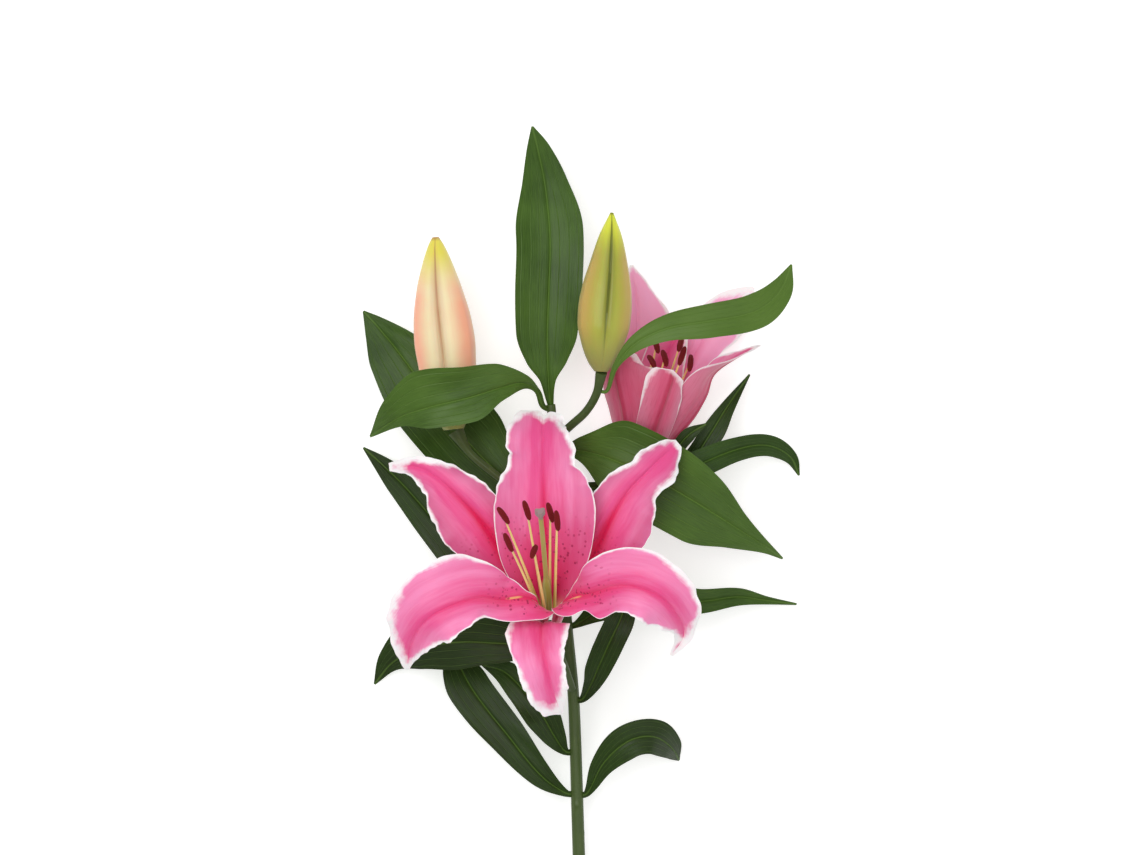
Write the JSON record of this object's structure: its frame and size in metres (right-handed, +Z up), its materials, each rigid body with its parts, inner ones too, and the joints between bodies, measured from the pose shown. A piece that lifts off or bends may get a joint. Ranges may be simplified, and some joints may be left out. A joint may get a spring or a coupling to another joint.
{
  "type": "bunch of lilies",
  "caption": "Cut stem of pink lilies lying down: an open flower with curled white-edged petals, a half-open flower, closed buds and long pointed leaves on a branching stalk.",
  "frame": {"origin": "middle of the bunch's bounding box, on the surface that it lies on", "axes": "+Y along the stem from its cut end to the leaf and bud tips, +Z up from the surface, the way the open flower looks, +X to the right as seen from above"},
  "size_m": [0.2756, 0.5788, 0.1475],
  "materials": {
    "stem": "satin",
    "stalk": "satin",
    "leaf": "satin",
    "petal": "satin",
    "petal_back": "satin",
    "left_bud": "satin",
    "right_bud": "satin",
    "filament": "satin",
    "anther": "matte",
    "pistil": "satin"
  },
  "bodies": {
    "root": {"front_1_anther": "anther", "front_1_filament": "filament", "front_2_anther": "anther", "front_2_filament": "filament", "front_3_anther": "anther", "front_3_filament": "filament", "front_4_anther": "anther", "front_4_filament": "filament", "front_5_anther": "anther", "front_5_filament": "filament", "front_6_anther": "anther", "front_6_filament": "filament", "front_flower_stalk": "stalk", "front_petal_left": "petal", "front_petal_right": "petal", "front_petal_top": "petal", "front_pistil": "pistil", "front_sepal_bottom": "petal", "front_sepal_left": "petal", "front_sepal_right": "petal", "leaf_bottom_left": "leaf", "leaf_bottom_middle": "leaf", "leaf_bottom_right": "leaf", "leaf_left_middle": "leaf", "leaf_lower_left": "leaf", "leaf_lower_right": "leaf", "leaf_right_big": "leaf", "leaf_right_hook": "leaf", "leaf_right_low": "leaf", "leaf_right_small": "leaf", "leaf_right_top": "leaf", "leaf_right_up": "leaf", "leaf_top": "leaf", "leaf_upper_left_back": "leaf", "leaf_upper_left_front": "leaf", "left_bud": "left_bud", "left_bud_stalk": "stalk", "main_stem": "stem", "rear_1_anther": "anther", "rear_1_filament": "filament", "rear_2_anther": "anther", "rear_2_filament": "filament", "rear_3_anther": "anther", "rear_3_filament": "filament", "rear_4_anther": "anther", "rear_4_filament": "filament", "rear_5_anther": "anther", "rear_5_filament": "filament", "rear_6_anther": "anther", "rear_6_filament": "filament", "rear_flower_stalk": "stalk", "rear_petal_back": "petal_back", "rear_petal_left": "petal_back", "rear_petal_right": "petal_back", "rear_pistil": "pistil", "rear_sepal_front": "petal_back", "rear_sepal_left": "petal_back", "rear_sepal_right": "petal_back", "right_bud": "right_bud", "right_bud_stalk": "stalk"}
  },
  "joints": []
}
